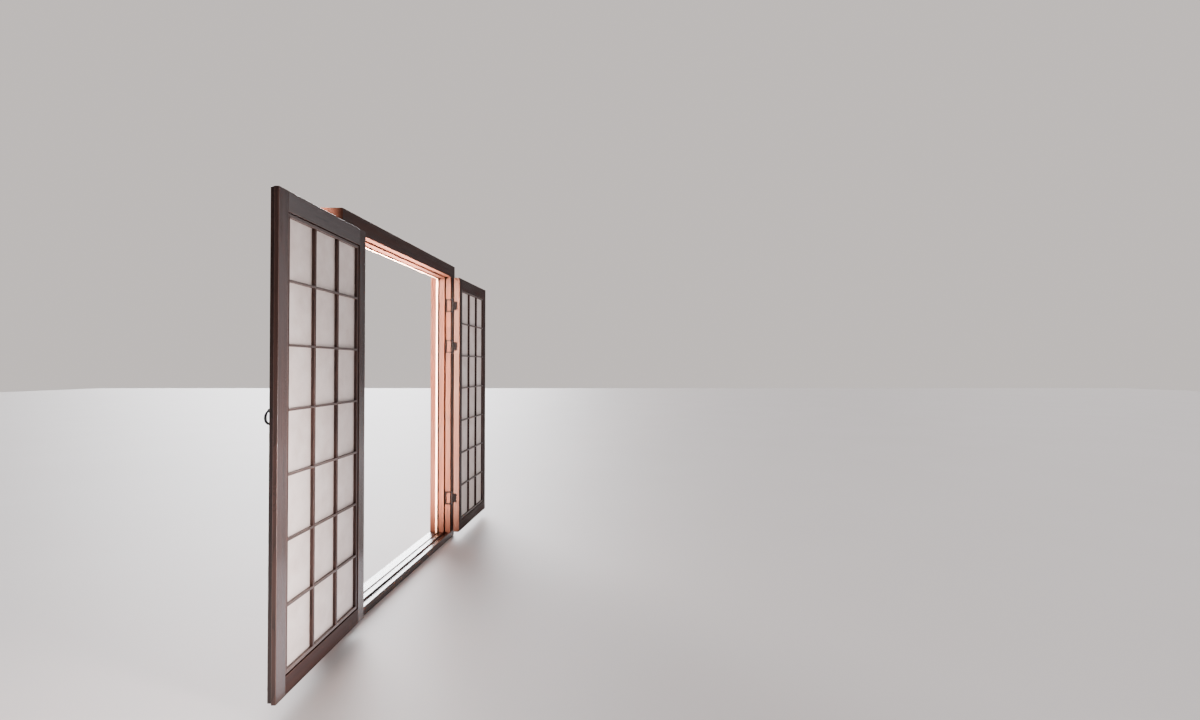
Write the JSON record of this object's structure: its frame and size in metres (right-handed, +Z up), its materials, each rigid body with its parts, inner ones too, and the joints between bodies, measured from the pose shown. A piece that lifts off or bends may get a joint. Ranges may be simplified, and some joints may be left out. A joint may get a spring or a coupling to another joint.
{
  "type": "double lattice door set in a timber frame",
  "caption": "Side-hung timber lattice door leaves with paper panels, standing open in a rebated timber frame with iron hinges and ring pulls.",
  "frame": {"origin": "middle of the sill's underside, 68 mm behind the frame's room face", "axes": "+X along the wall to the far jamb, +Y outdoors, +Z up"},
  "size_m": [2.8958, 0.2358, 2.025],
  "materials": {
    "frame_timber": "oiled reddish-brown softwood",
    "leaf_timber": "stained grey-brown softwood, worn satin",
    "pale_bead": "off-white painted batten",
    "black_rubber": "black sealing strip",
    "paper": "off-white mulberry paper, matt",
    "black_iron": "blackened iron, satin"
  },
  "bodies": {
    "frame": {"head": "frame_timber", "sill": "frame_timber", "near_jamb": "frame_timber", "far_jamb": "frame_timber", "outer_head": "frame_timber", "outer_sill": "frame_timber", "near_outer_jamb": "frame_timber", "far_outer_jamb": "frame_timber", "head_bead": "pale_bead", "near_bead": "pale_bead", "far_bead": "pale_bead", "head_seal": "black_rubber", "near_seal": "black_rubber", "far_seal": "black_rubber", "near_jamb_hinge_top": "black_iron", "near_jamb_hinge_upper": "black_iron", "near_jamb_hinge_bottom": "black_iron", "far_jamb_hinge_top": "black_iron", "far_jamb_hinge_upper": "black_iron", "far_jamb_hinge_bottom": "black_iron"},
    "near_leaf": {"near_leaf_hinge_stile": "leaf_timber", "near_leaf_meeting_stile": "leaf_timber", "near_leaf_top_rail": "leaf_timber", "near_leaf_bottom_rail": "leaf_timber", "near_leaf_lattice": "leaf_timber", "near_leaf_paper": "paper", "near_leaf_plate_top": "black_iron", "near_leaf_plate_upper": "black_iron", "near_leaf_plate_bottom": "black_iron", "near_leaf_pull_staple": "black_iron"},
    "far_leaf": {"far_leaf_hinge_stile": "leaf_timber", "far_leaf_meeting_stile": "leaf_timber", "far_leaf_top_rail": "leaf_timber", "far_leaf_bottom_rail": "leaf_timber", "far_leaf_lattice": "leaf_timber", "far_leaf_paper": "paper", "far_leaf_plate_top": "black_iron", "far_leaf_plate_upper": "black_iron", "far_leaf_plate_bottom": "black_iron", "far_leaf_pull_staple": "black_iron"},
    "near_ring": {"near_leaf_pull_ring": "black_iron"},
    "far_ring": {"far_leaf_pull_ring": "black_iron"}
  },
  "joints": [
    {"name": "near_leaf_swing", "type": "hinge", "parent": "frame", "child": "near_leaf", "pos_m": [-0.7225, -0.084, 0.05], "axis": [0, 0, 1], "range_deg": [-2.6, 177.4]},
    {"name": "near_ring_lift", "type": "hinge", "parent": "near_leaf", "child": "near_ring", "pos_m": [-1.41088, -0.11326, 1.1085], "axis": [0.999, 0.0454, 0], "range_deg": [0, 80]},
    {"name": "far_leaf_swing", "type": "hinge", "parent": "frame", "child": "far_leaf", "pos_m": [0.7225, -0.084, 0.05], "axis": [0, 0, -1], "range_deg": [0, 180]},
    {"name": "far_ring_lift", "type": "hinge", "parent": "far_leaf", "child": "far_ring", "pos_m": [1.4115, -0.082, 1.1085], "axis": [1, 0, 0], "range_deg": [0, 80]}
  ]
}
